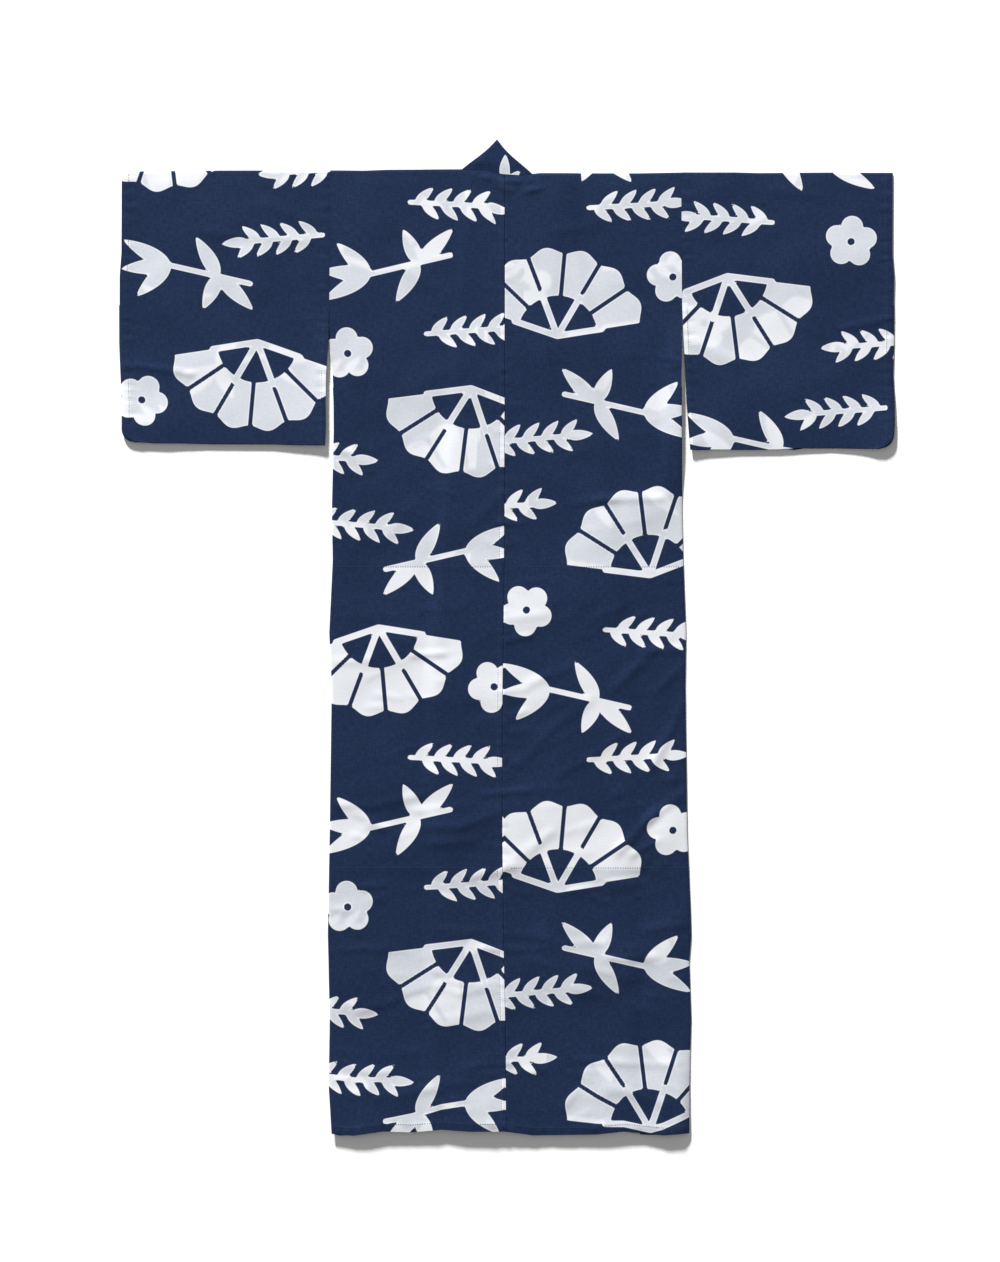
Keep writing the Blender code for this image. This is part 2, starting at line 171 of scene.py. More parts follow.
# Soft folds and creases of the upper layer, in millimetres: x, down, to x, to down, half
# width, height. The wide ones are in the solids too.
FOLDS = metres(
    (165, 640, 300, 540, 36, 1.2),
    (20, 760, 230, 700, 42, 0.9),
    (190, 1205, 300, 1130, 34, 1.3),
    (60, 1120, 170, 1085, 36, 0.8),
    (-280, 1085, -110, 1055, 34, 1.1),
    (-230, 1175, -60, 1125, 34, 1.3),
    (-285, 850, -180, 820, 38, 0.9),
    (-210, 400, -60, 330, 42, 0.8),
    (80, 300, 260, 340, 42, 0.8),
    (-240, 1420, -40, 1460, 42, 0.9),
    (60, 1400, 270, 1350, 40, 1.0),
    (-620, 350, -480, 330, 34, 1.0),
    (-520, 150, -380, 230, 42, 0.8),
    (420, 200, 600, 130, 42, 0.8),
    (400, 390, 560, 350, 38, 1.0),
)
CREASES = metres(
    # the right panel, down to the hips
    (118, 575, 180, 567, 8, 0.7),
    (160, 568, 262, 566, 7, 1.0),
    (6, 774, 60, 768, 8, 0.5),
    (4, 812, 34, 806, 6, 0.8),
    (43, 886, 102, 862, 9, 0.9),
    (190, 892, 250, 832, 9, 1.1),
    (246, 832, 308, 826, 8, 0.7),
    (262, 898, 300, 858, 8, 0.7),
    (252, 1030, 304, 925, 9, 1.2),
    (10, 1034, 66, 984, 9, 0.7),
    (58, 980, 140, 918, 10, 0.6),
    (150, 1010, 196, 978, 8, 0.6),
    (92, 1046, 130, 1024, 7, 0.6),
    (197, 1174, 250, 1118, 9, 1.6),
    (245, 1122, 304, 1078, 8, 1.1),
    (285, 1056, 310, 1050, 6, 0.8),
    (220, 1182, 254, 1163, 7, 0.9),
    (0, 1200, 72, 1148, 9, 0.8),
    (90, 100, 150, 90, 10, 0.5),
    (272, 322, 304, 330, 6, 1.0),
    (280, 340, 304, 335, 5, 0.7),
    # across the centre seam
    (-12, 610, 22, 609, 6, 0.9),
    (-40, 1079, 32, 1073, 6, 0.9),
    (35, 1072, 100, 1068, 8, 0.4),
    (-64, 1223, 10, 1204, 7, 0.9),
    (-42, 1348, 24, 1348, 6, 0.9),
    (-64, 1553, 8, 1545, 6, 0.9),
    # the left panel
    (-200, 150, -150, 190, 12, 0.5),
    (-302, 479, -272, 488, 6, 0.8),
    (-50, 602, -16, 566, 9, 0.6),
    (-215, 640, -175, 592, 10, 0.6),
    (-162, 838, -114, 835, 6, 1.0),
    (-298, 850, -240, 846, 8, 0.6),
    (-300, 1098, -228, 1099, 7, 0.7),
    (-208, 1094, -150, 1081, 8, 0.8),
    (-155, 1107, -90, 1101, 7, 0.6),
    (-140, 1135, -82, 1136, 8, 0.9),
    (-70, 1132, -18, 1112, 7, 0.8),
    (-258, 1114, -200, 1146, 8, 0.8),
    (-128, 1164, -64, 1160, 8, 0.6),
    (-304, 1280, -280, 1280, 7, 0.8),
    (-106, 1314, -52, 1316, 7, 0.6),
    (-280, 1349, -210, 1345, 7, 0.7),
    (-256, 1454, -204, 1440, 8, 0.9),
    (-170, 1424, -118, 1408, 7, 0.6),
    (-96, 1404, -22, 1419, 8, 0.6),
    (-126, 1471, -56, 1463, 8, 0.5),
    (-304, 1572, -280, 1572, 6, 0.8),
    (-220, 1606, -150, 1596, 10, 0.7),
    (-130, 1590, -52, 1578, 9, 0.6),
    # the right panel, below the hips
    (0, 1322, 70, 1328, 8, 0.6),
    (92, 1340, 150, 1336, 8, 0.6),
    (180, 1362, 252, 1362, 8, 1.0),
    (246, 1314, 310, 1303, 9, 0.9),
    (126, 1538, 190, 1545, 7, 0.7),
    (200, 1548, 290, 1545, 7, 0.6),
    (180, 1590, 270, 1612, 10, 0.7),
    (100, 1615, 118, 1595, 7, 0.6),
    # below the collar
    (-60, 7, -40, 10, 6, 1.2),
    (-36, 12, -17, 12, 5, 2.0),
    (-3, 11, 16, 9, 5, 2.0),
    (16, 9, 40, 9, 6, 1.8),
    (-14, 22, -6, 22, 5, 1.3),
    (-2, 28, 3, 28, 5, 1.1),
    (39, 28, 50, 27, 5, 1.5),
    # the sleeves
    (-660, 334, -550, 350, 6, 0.9),
    (-524, 106, -325, 122, 8, 0.5),
    (-420, 60, -350, 85, 10, 0.5),
    (330, 300, 400, 330, 12, 0.7),
    (470, 30, 540, 40, 10, 0.5),
    (590, 270, 668, 254, 7, 0.9),
)

# The finished cloth
WALL = 0.0005
STEP = 0.0042  # between the grid's points where the print shows
HIDDEN_STEP = 0.0062
LINING_GRID = STEP * 1.4
COLLAR_COLUMNS = 13  # of points over the collar's width
LINING_STEP = 0.0002  # the back rises so much over the hip lining
LINING_UNDER = 0.0006  # which lies so much below it
ALLOWANCE = 0.0078  # centre seam to its stitches
ALLOWANCE_PAST = 0.0004  # it shows through the cloth so far past them
SEAM_DIP = 0.0006  # the right panel goes down so much to the centre seam
SEAM_DIP_REACH = 0.0018
HEM_DEPTH = 0.0150
HEM_STITCHES = 0.0130
CUFF_BAND = 0.0135
CUFF_STITCHES = CUFF_BAND - 0.0008
FREE_BAND = 0.0085  # hem of the sleeve's inner edge
FREE_STITCHES = FREE_BAND - 0.0006
FREE_HEM_RISE = 0.010  # it comes up so fast below the armhole
NECK_SINK = 0.0001  # the collar's seam lies so much lower than the back it is sewn to
SAG_SHAPE = 1.5  # the collar's sides curve in most above their middle
SEAM_PRESSED = 0.45  # the collar is so thin at its seam, as a share
PRESSED_REACH = 1 / 2.5  # and comes up over this share of its width
TUCK = 0.0040  # the right panel runs so far under the left one's fold
DOUBLED = 0.0004  # a doubled band stands so much higher
BAND_EDGE = 0.0022  # and comes up over this length
RUMPLE = 0.0011  # most that the cloth wanders in height
RUMPLE_SPREAD = 5  # between its lowest and its highest, in usual swings
PUCKER = 0.0004
PUCKER_SWING = 2.4
PUCKER_REACH = 0.011
SEAM_PUCKER = 0.65  # as much of it along the centre seam
LINING_PUCKER = 0.35  # and along the stitches of the hip lining
CREASE_SHARE = 0.30  # so much of a crease is left at the edge of a piece
CREASE_FADE = 0.020
TOP_FADE = 0.030  # below the shoulder fold, which is pressed flat
TOP_PAST = 0.004
TURN_ANGLES = np.radians((45.0, 90.0, 135.0))
FOLD_ROWS = 1 + len(TURN_ANGLES)
TURN_REACH = 0.0008  # most that a pressed fold stands out past its layers' edges
COLLAR_TURN = np.radians((0, 30, 60, 90, 120, 150, 180))
CORNER_TURN = np.radians((15, 30, 42, 54, 65, 75, 84, 90))  # at the foot of a cuff
CUT_EDGE = math.radians(65)  # edges of cloth are sharp from this angle

# Columns and rows of the grids are closer together at a seam or a hem. Lengths from it:
HEM_ROWS = (0.0, 0.0020, 0.0050, 0.0090, 0.0125, 0.0145, 0.0165, 0.0200)
SEAM_COLUMNS = {
    -1: (0.0095, 0.0085, 0.0068, 0.0040, 0.0018, 0.0),
    1: (0.0085, 0.0045, 0.0018, 0.0004, -0.0012, -TUCK),
}
CUFF_COLUMNS = (0.0160, 0.0145, 0.0125, 0.0095, 0.0050, 0.0)
FREE_COLUMNS = (0.0, 0.0040, 0.0075, 0.0095)

# Rough widths, which give the number of the other columns
BACK_WIDTH = 0.300
SLEEVE_WIDTH = 0.350
SLEEVE_MIDDLE = 0.330
LINING_WIDTH = 0.600

# The short creases
SHORT_COUNT = 260
SHORT_ACROSS = (-0.30, 0.31)
SHORT_CROWDING = 0.62  # below 1 they are closer together towards the hem
SHORT_TURN = 0.25
SHORT_LENGTH = (0.010, 0.050)
SHORT_HALF_WIDTH = (0.0050, 0.0080)
SHORT_LOW = 0.0001
SHORT_HIGH = 0.0003  # at the shoulder, and twice as high at the hem
HIP_SLANT = 0.50
HIP_TOP = 0.75
HIP_END = 1.22

# Stitches
STITCH_PITCH = 0.0042
STITCH_WANDER = 0.0002
STITCH_LENGTH = 0.0029
STITCH_WIDTH = 0.0008
STITCH_SINK = 0.0001  # the middle of the thread lies so far in the cloth
LINE_INSET = 0.004  # a line of stitches ends so far from an edge
LINE_STOP = 0.006  # or from a fold
LINE_START = 0.010  # lines across the back start so far from the centre seam
ON_ALLOWANCE = 0.7  # share of its height that the centre line lies at
# The line beside the centre seam runs further out over part of its length
JOG = 0.0016
JOG_START = 1.080
JOG_RISE = 0.006
JOG_END = 1.250
JOG_FALL = 0.100

rng = np.random.default_rng(11)


# The lie of the pieces, as in the solids


def smooth(value):
    t = np.clip(value, 0.0, 1.0)
    return t * t * (3 - 2 * t)


def mix(first, second, share):
    return first + (second - first) * share


def from_table(rows, column, station):
    return np.interp(station, [row[0] for row in rows], [row[column] for row in rows])


def side_edge(side, down):
    return SEAM_X + side * from_table(BODY_EDGE, 1 if side < 0 else 2, down)


def seam_x(down):
    return SEAM_X + from_table(BODY_EDGE, 3, down)


def neck_corner(side):
    return SEAM_X + side * NECK_OUT[side]


def front_edge(side):
    return side_edge(side, LENGTH) - side * (FRONT_WIDTH + OVERLAP_WIDTH)


def collar_seam(side, down):
    end = front_edge(side) + side * COLLAR_WIDTH
    return neck_corner(side) + (end - neck_corner(side)) * down / COLLAR_END


def overlap_seam(side, down):
    point = collar_seam(side, OVERLAP_TOP)
    hem = side_edge(side, LENGTH) - side * FRONT_WIDTH
    return point + (hem - point) * (down - OVERLAP_TOP) / (LENGTH - OVERLAP_TOP)


def free_edge(side, down):
    beside_collar = collar_seam(side, down) - side * COLLAR_WIDTH
    return np.where(down >= COLLAR_END, front_edge(side), beside_collar)


def y_at(x, down):
    rise = from_table(SHOULDER_RISE, 1, x - SEAM_X) * smooth(1 - down / EASE)
    drop = from_table(HEM_DROP, 1, x - SEAM_X) * smooth(1 - (LENGTH - down) / EASE)
    return SHOULDER_Y - down + rise - drop


def covered(edge, side, x, margin=MARGIN):
    return smooth(1 + (margin + side * (x - edge)) / RAMP)


def hem_lift(x, down):
    """Lift of all layers of the body, at the hem and beside the right sleeve."""
    hem = from_table(HEM_LIFT, 1, x) * smooth(1 - (LENGTH - down) / HEM_CURL)
    beside_sleeve = smooth((down - ARMHOLE) / SIDE_LIFT_RISE)
    beside_sleeve = beside_sleeve * smooth((SIDE_LIFT_END - down) / SIDE_LIFT_FALL)
    inside = side_edge(1, down) - x
    return hem + SIDE_LIFT * smooth(1 - inside / LIFT_REACH) * beside_sleeve


def hem_peek(x, down):
    """How much longer than the back the fronts are, at the hem."""
    return from_table(HEM_PEEK, 1, x) * smooth(1 - (LENGTH - down) / PEEK_FADE)


def sleeve_lift(side, x, down):
    lift = from_table(SLEEVE_LIFT, 1, x) * smooth(1 - (SLEEVE_DROP[side] - down) / SLEEVE_CURL)
    if side < 0:
        inside = np.abs(x - sleeve_inner(side, down))
        free = FREE_LIFT * smooth(1 - inside / LIFT_REACH)
        lift = np.maximum(lift, free * smooth((down - ARMHOLE) / FREE_LIFT_RISE))
    return lift


def front_height(side, x, down):
    """Middle of a front's wall."""
    lift = hem_lift(x, down) + CLOTH / 2
    if side > 0:
        lift = lift + (BAND + GAP) * covered(free_edge(-1, down), -1, x)
    return lift


def pile_height(x, down):
    left = free_edge(-1, down)
    right = free_edge(1, down)
    both = covered(left, -1, x, 2 * MARGIN + RAMP) * covered(right, 1, x)
    low = np.minimum(collar_seam(-1, down), right)
    high = np.maximum(collar_seam(1, down), left)
    bands = covered(low, 1, x) * covered(high, -1, x) * covered(COLLAR_END, -1, down)
    return hem_lift(x, down) + LAYER + (BAND + GAP) * both + (BAND - CLOTH) * bands


# The softer and finer shapes of the cloth


def ridges(table, x, down):
    total = 0.0
    for start_x, start, end_x, end, half_width, height in table:
        run = (end_x - start_x, end - start)
        length = math.hypot(*run)
        along = ((x - start_x) * run[0] + (down - start) * run[1]) / length
        away = ((x - start_x) * run[1] - (down - start) * run[0]) / length / half_width
        past = np.maximum(0.0, np.maximum(-along, along - length)) / (FOLD_TAPER * half_width)
        total = total + height * np.exp(-(away**2) - past**2)
    return total


def waves(count, shortest, longest):
    """Directions, lengths and starts of waves that add up to the cloth's wandering."""
    lengths = np.exp(rng.uniform(math.log(shortest), math.log(longest), count))
    turns = rng.uniform(0, math.pi, count)
    starts = rng.uniform(0, 2 * math.pi, count)
    return np.column_stack([lengths, turns, starts])


WANDER = waves(count=46, shortest=0.045, longest=0.260)
RIPPLE = waves(count=9, shortest=0.011, longest=0.030)


def rumple(x, down):
    """The wandering of cloth that was smoothed by hand, never below 0."""
    total = 0.0
    weight = 0.0
    for length, turn, start in WANDER:
        phase = (x * math.cos(turn) + down * math.sin(turn)) * 2 * math.pi / length + start
        total = total + np.sin(phase) * length
        weight += length * length / 2
    return RUMPLE * smooth(0.5 + total / math.sqrt(weight) / RUMPLE_SPREAD)


def pucker(along, away):
    """Small ripples beside a line of stitches."""
    total = 0.0
    for length, _, start in RIPPLE:
        total = total + np.sin(along * 2 * math.pi / length + start)
    swing = 1 + total / len(RIPPLE) * PUCKER_SWING
    return PUCKER * swing * np.exp(-((away / PUCKER_REACH) ** 2))


def short_creases():
    """Shallow creases nearly straight across, closer together towards the hem. Those of
    the right panel's hip slant up to the side."""
    rows = []
    for _ in range(SHORT_COUNT):
        x = rng.uniform(*SHORT_ACROSS)
        down = LENGTH * rng.uniform(0.0, 1.0) ** SHORT_CROWDING
        slant = HIP_SLANT if x > 0 and HIP_TOP < down < HIP_END else 0.0
        turn = rng.normal(slant, SHORT_TURN)
        length = rng.uniform(*SHORT_LENGTH)
        end_x, end = x + length * math.cos(turn), down - length * math.sin(turn)
        height = rng.uniform(SHORT_LOW, SHORT_HIGH + SHORT_HIGH * down / LENGTH)
        rows.append((x, down, end_x, end, rng.uniform(*SHORT_HALF_WIDTH), height))
    return rows


SHORT_CREASES = short_creases()


def relief(x, down, inside):
    """Height of all folds and creases, which die away near the edges of a piece."""
    folds = ridges(FOLDS, x, down) + rumple(x, down)
    creases = ridges(CREASES, x, down) + ridges(SHORT_CREASES, x, down)
    total = folds * smooth(EDGE_SHARE + inside / EDGE_FADE)
    total = total + creases * smooth(CREASE_SHARE + inside / CREASE_FADE)
    return total * smooth((down + TOP_PAST) / TOP_FADE)


def back_height(x, down):
    """Middle of the back's wall."""
    side = np.where(x < SEAM_X, -1, 1)
    edge = np.where(side < 0, side_edge(-1, down), side_edge(1, down))
    lining = covered(LINING_TOP, 1, down, 0.0) * covered(LINING_END, -1, down, 0.0)
    drawn = pucker(down, x - seam_x(down)) * SEAM_PUCKER + pucker(x, LENGTH - HEM_STITCHES - down)
    drawn = drawn + (pucker(x, down - LINING_TOP) + pucker(x, down - LINING_END)) * LINING_PUCKER
    low = pile_height(x, down) + LINING_STEP * lining + CLOTH / 2
    return low + relief(x, down, np.abs(edge - x)) + drawn


def doubled(inside, width):
    """1 on a band that is folded double, from an edge inwards."""
    return smooth((width + BAND_EDGE / 2 - inside) / BAND_EDGE)


# The print, charted on the bolt: white motifs left in an indigo ground. Each function gives
# how far inside the motif a place is, in metres, and less than 0 outside it.

REPEAT = 0.960
MOTIF_REACH = 0.200  # no motif reaches further from its middle


def stroke(u, v, start, end, width, leaf=True):
    """A leaf from its stalk to its tip, or a plain rod."""
    run = (end[0] - start[0], end[1] - start[1])
    length = math.hypot(*run)
    along = ((u - start[0]) * run[0] + (v - start[1]) * run[1]) / length
    away = ((u - start[0]) * run[1] - (v - start[1]) * run[0]) / length
    half = width / 2
    if leaf:
        share = np.clip(along / length, 0, 1)
        half = half * np.sin(np.pi * share**0.72) ** 0.75
    past = np.maximum(0.0, np.maximum(-along, along - length))
    return half - np.hypot(away, past)


def fan(u, v):
    """An open folding fan, with its pleats and its sticks."""
    pivot, radius, scallop, paper_start, pleat_line = 0.085, 0.150, 0.005, 0.070, 0.0036
    stick, stick_width = 0.078, 0.0110
    opening = math.radians(76)
    pleats = 6
    v = v + pivot
    far = np.hypot(u, v)
    angle = np.arctan2(u, v)
    pleat = 2 * opening / pleats
    place = (angle + opening) / pleat
    edge = radius - scallop * np.cos(2 * np.pi * place)
    paper = np.minimum(edge - far, far - paper_start)
    paper = np.minimum(paper, (opening - np.abs(angle)) * far)
    line = np.abs(place - np.round(place)) * pleat * far
    inner = (place > 0.5) & (place < pleats - 0.5)
    paper = np.where(inner, np.minimum(paper, line - pleat_line), paper)
    for number in range(0, pleats + 1, 2):
        turn = -opening + pleat * number
        tip = (stick * math.sin(turn), stick * math.cos(turn))
        paper = np.maximum(paper, stroke(u, v, (0, 0), tip, stick_width, leaf=False))
    return paper


def bamboo(u, v):
    """Two clusters of bamboo leaves on a twig."""
    twig_width, leaf_width, leaf_length, shorter, flattened = 0.0095, 0.0265, 0.098, 0.012, 0.72
    found = stroke(u, v, (-0.118, 0.012), (0.030, -0.006), twig_width, leaf=False)
    for base, turns in (((0.024, -0.006), (-58, -14, 30)), ((-0.062, 0.004), (-132, -76, 62))):
        for number, turn in enumerate(turns):
            reach = leaf_length - shorter * (number % 2)
            tip = (
                base[0] + reach * math.cos(math.radians(turn)),
                base[1] - reach * flattened * math.sin(math.radians(turn)),
            )
            found = np.maximum(found, stroke(u, v, base, tip, leaf_width))
    return found


def sprig(u, v):
    """A twig with small leaves in pairs."""
    twig_width, end_width, leaf_width = 0.0085, 0.0180, 0.0150
    first, pitch, stagger, leaf_run, leaf_out = -0.070, 0.033, 0.006, 0.030, 0.0275
    found = stroke(u, v, (-0.086, 0.0), (0.050, 0.0), twig_width, leaf=False)
    found = np.maximum(found, stroke(u, v, (0.044, 0.0), (0.090, 0.0), end_width))
    for number in range(4):
        base = first + pitch * number
        for way in (-1, 1):
            start = (base + stagger * way, 0.0)
            tip = (start[0] + leaf_run, leaf_out * way)
            found = np.maximum(found, stroke(u, v, start, tip, leaf_width))
    return found


def blossom(u, v):
    """A plum blossom from above, with five round petals."""
    petal_out, petal, middle, eye = 0.0265, 0.0190, 0.0160, 0.0065
    found = -1.0
    for number in range(5):
        turn = math.radians(72 * number + 18)
        away = np.hypot(u - petal_out * math.cos(turn), v - petal_out * math.sin(turn))
        found = np.maximum(found, petal - away)
    far = np.hypot(u, v)
    found = np.maximum(found, middle - far)
    return np.minimum(found, far - eye)


MOTIFS = (
    # motif, across the bolt, along it, turn
    (fan, 0.125, 0.110, -5),
    (blossom, 0.318, 0.128, 10),
    (sprig, 0.258, 0.255, 3),
    (bamboo, 0.126, 0.365, 174),
    (sprig, 0.286, 0.470, -4),
    (blossom, 0.064, 0.510, 32),
    (fan, 0.268, 0.655, 7),
    (sprig, 0.028, 0.690, 4),
    (bamboo, 0.246, 0.860, -6),
    (sprig, 0.090, 0.808, 5),
)

# How each piece was cut from the bolt
CUTS = {
    # piece: (start across the bolt, its direction, start along the bolt, its direction)
    ("body", -1): (0.336, -1, 0.195, 1),
    ("body", 1): (0.026, 1, 0.310, -1),
    ("sleeve", -1): (-0.008, 1, 0.690, 1),
    ("sleeve", 1): (0.362, -1, 0.390, 1),
    ("overlap", -1): (0.020, 1, 0.050, 1),
    ("overlap", 1): (0.180, 1, 0.500, 1),
    ("collar", 0): (0.313, 1, 0.258, 1),
}
SLEEVE_START = 0.303  # from the centre back seam to where the sleeves' cut is measured


def on_bolt(cut, across, along):
    """Where on the bolt a place of a piece is, given by the piece's own lengths."""
    start_u, way_u, start_v, way_v = CUTS[cut]
    return start_u + way_u * across, start_v + way_v * along


def printed(cut, across, along):
    """The print on a piece."""
    u, v = on_bolt(cut, across, along)
    found = np.full(np.shape(u + v), -1.0)
    for motif, at_u, at_v, turn in MOTIFS:
        right = u - at_u
        up = (v - at_v + REPEAT / 2) % REPEAT - REPEAT / 2
        near = np.hypot(right, up) < MOTIF_REACH
        cos, sin = math.cos(math.radians(turn)), math.sin(math.radians(turn))
        shape = motif(cos * right[near] + sin * up[near], cos * up[near] - sin * right[near])
        found[near] = np.maximum(found[near], shape)
    return found


def front_print(side, x, down):
    """The print of a front as it lies: its collar's, overlap panel's or body panel's."""
    found = printed(("body", side), np.abs(x - SEAM_X), -down)
    seam = overlap_seam(side, down)
    overlap = printed(("overlap", side), np.abs(seam - x), down)
    found = np.where((down > OVERLAP_TOP) & (side * (seam - x) > 0), overlap, found)
    seam = collar_seam(side, down)
    collar = printed(("collar", 0), np.abs(seam - x), side * (NECK_OUT[side] + down))
    return np.where((down < COLLAR_END) & (side * (seam - x) > 0), collar, found)


def print_below(x, down):
    """The print of the layer right under the back, which shows faintly through it."""
    on_top = x > free_edge(1, down)
    below = np.where(on_top, front_print(1, x, down), front_print(-1, x, down))
    lined = (down > LINING_TOP) & (down < LINING_END)
    return np.where(lined, 1.0, below)


# Cloth


def cloth(name, places, flat, prints, ghost, drop=None):
    """Lays a grid of cloth. Its UV map is its place on the bolt, in metres. The print and the
    ghost, which is what lies below and shows through, are kept at its points."""
    rows, columns = places[0].shape
    bpy.ops.object.select_all(action="DESELECT")
    bpy.ops.mesh.primitive_grid_add(x_subdivisions=columns - 1, y_subdivisions=rows - 1)
    made = bpy.context.object
    made.name = made.data.name = name
    mesh = made.data
    mesh.vertices.foreach_set("co", np.stack(places, -1).ravel())
    corners = np.empty(len(mesh.loops), int)
    mesh.loops.foreach_get("vertex_index", corners)
    pairs = np.stack(flat, -1).reshape(-1, 2)
    mesh.uv_layers.active.data.foreach_set("uv", pairs[corners].ravel())
    for label, values in (("print", prints), ("ghost", ghost)):
        mesh.attributes.new(label, "FLOAT", "POINT").data.foreach_set("value", values.ravel())
    if drop is not None:
        cut = bmesh.new()
        cut.from_mesh(mesh)
        cut.faces.ensure_lookup_table()
        gone = [cut.faces[number] for number in np.flatnonzero(drop.ravel())]
        bmesh.ops.delete(cut, geom=gone, context="FACES")
        cut.to_mesh(mesh)
        cut.free()
    bpy.ops.object.modifier_add(type="SOLIDIFY")
    wall = made.modifiers[-1]
    wall.thickness = WALL
    wall.offset = 0
    bpy.ops.object.modifier_apply(modifier=wall.name)
    bpy.ops.object.shade_smooth_by_angle(angle=CUT_EDGE)
    return made


def dress(made, finish, node):
    made.data.materials.clear()
    made.data.materials.append(finish)
    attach(made, "root")
    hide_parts(node)


def evenly(start, end, step):
    return np.linspace(start, end, max(2, round(abs(end - start) / step) + 1))


def columns(width, step=STEP):
    """Even shares of a panel about this wide, in one row."""
    return evenly(0.0, 1.0, step / width)[None]


def turned(low, high):
    """Heights and reach of a fold from a lower layer to an upper one."""
    bend = (high - low) / 2
    reach = np.minimum(bend, TURN_REACH)
    return low + bend * (1 - np.cos(TURN_ANGLES)), reach * np.sin(TURN_ANGLES)


def fold_over(grid, low, end=0):
    """Adds the rows of a fold to one end of a grid, from a lower layer's height to its own."""
    x, y, z, along = (part[end][None] for part in grid)
    heights, reach = turned(low.T, z.T)
    rows = (
        np.repeat(x, FOLD_ROWS, 0),
        np.vstack([y, y + (-reach.T if end else reach.T)]),
        np.vstack([low, heights.T]),
        np.repeat(along, FOLD_ROWS, 0),
    )
    if end:
        return [np.vstack([kept, added[::-1]]) for kept, added in zip(grid, rows)]
    return [np.vstack([added, kept]) for kept, added in zip(grid, rows)]


def body_panel(side):
    """Back and front of one side, folded over the shoulder and sewn down the side."""
    cut = ("body", side)
    down = evenly(0.0, LENGTH - HEM_ROWS[-1], STEP)[:-1]
    down = np.concatenate([down, LENGTH - np.array(HEM_ROWS[::-1])])[:, None]
    inner = np.where(down < OVERLAP_TOP, collar_seam(side, down), overlap_seam(side, down))
    inner = inner + side * GAP / 2
    outer = side_edge(side, down) - side * BEND
    front_x = mix(inner, outer, columns(FRONT_WIDTH, HIDDEN_STEP))
    front_z = front_height(side, front_x, down)
    front_y = y_at(front_x, down) - hem_peek(front_x, down)

    centre = seam_x(down)
    near = side * np.array(SEAM_COLUMNS[side])
    wide = mix(outer, centre + near[0], columns(BACK_WIDTH)[:, :-1])
    back_x = np.hstack([wide, centre + near[None]])
    back_down = np.broadcast_to(down, back_x.shape)
    seam = side * (back_x - centre)
    back_z = back_height(back_x, back_down)
    if side < 0:
        back_z = back_z + DOUBLED * doubled(seam, ALLOWANCE)
    else:
        back_z = back_z - SEAM_DIP * smooth(1 - seam / SEAM_DIP_REACH)
    back_z = back_z + DOUBLED / 2 * doubled(LENGTH - down, HEM_DEPTH)

    turn_z, reach = turned(front_z[:, -1:], back_z[:, :1])
    turn_x = outer + side * reach
    x = np.hstack([front_x, turn_x, back_x])
    y = np.hstack([front_y, y_at(turn_x, down), y_at(back_x, back_down)])
    z = np.hstack([front_z, turn_z, back_z])
    along = np.hstack([0 * front_x - down, down + 0 * turn_x, back_down])
    x, y, z, along = fold_over((x, y, z, along), front_height(side, x[:1], 0.0))
    across = np.abs(x - SEAM_X)

    # No faces between the layers at the neck, over the shoulder's lower half and in the
    # side's opening
    fronts = front_x.shape[1]
    turns = fronts + turn_x.shape[1]
    drop = np.zeros_like(x[1:, 1:], bool)
    drop[:FOLD_ROWS, :turns] = True
    drop[:FOLD_ROWS, turns:] = across[0, turns:-1] < NECK_OUT[side]
    drop[FOLD_ROWS:, fronts - 1 : turns] |= down[:-1] < SIDE_OPENING

    prints = printed(cut, across, along)
    hem = LENGTH - back_down
    mirrored = printed(cut, across[FOLD_ROWS:, turns:], back_down + 2 * hem)
    below = np.where(hem < HEM_DEPTH, mirrored, print_below(back_x, back_down))
    if side < 0:
        below = np.where(seam < ALLOWANCE + ALLOWANCE_PAST, 1.0, below)
    ghost = prints.copy()
    ghost[FOLD_ROWS:, turns:] = below
    name = f"body_panel_{NAMES[side]}"
    return cloth(name, (x, y, z), on_bolt(cut, across, along), prints, ghost, drop)


def overlap_panel(side):
    """The panel between a front and its edge, up to its point under the collar."""
    cut = ("overlap", side)
    down = evenly(OVERLAP_TOP + OVERLAP_TIP, LENGTH, HIDDEN_STEP)[:, None]
    outer = overlap_seam(side, down) - side * GAP / 2
    inner = np.where(down > COLLAR_END, front_edge(side), collar_seam(side, down) + side * GAP / 2)
    x = mix(outer, inner, columns(OVERLAP_WIDTH, HIDDEN_STEP))
    down = np.broadcast_to(down, x.shape)
    places = (x, y_at(x, down) - hem_peek(x, down), front_height(side, x, down))
    across = np.abs(overlap_seam(side, down) - x)
    prints = printed(cut, across, down)
    return cloth(f"overlap_panel_{NAMES[side]}", places, on_bolt(cut, across, down), prints, prints)


def sleeve_outer(side, down):
    out = from_table(SLEEVE_EDGE, 2 if side < 0 else 4, down)
    into = np.maximum(0.0, down - (SLEEVE_DROP[side] - BEND - SLEEVE_CORNER))
    out = out - SLEEVE_CORNER + np.sqrt(np.maximum(0.0, SLEEVE_CORNER**2 - into**2))
    return SEAM_X + side * out


def sleeve_inner(side, down):
    gap = from_table(SLEEVE_EDGE, 1 if side < 0 else 3, down)
    return side_edge(side, np.minimum(down, ARMHOLE)) + side * (gap + GAP - BEND)


def sleeve_y(side, x, down):
    sag = from_table(SLEEVE_SAG, 1, x) * smooth(1 - (SLEEVE_DROP[side] - down) / EASE)
    return y_at(x, down) - sag


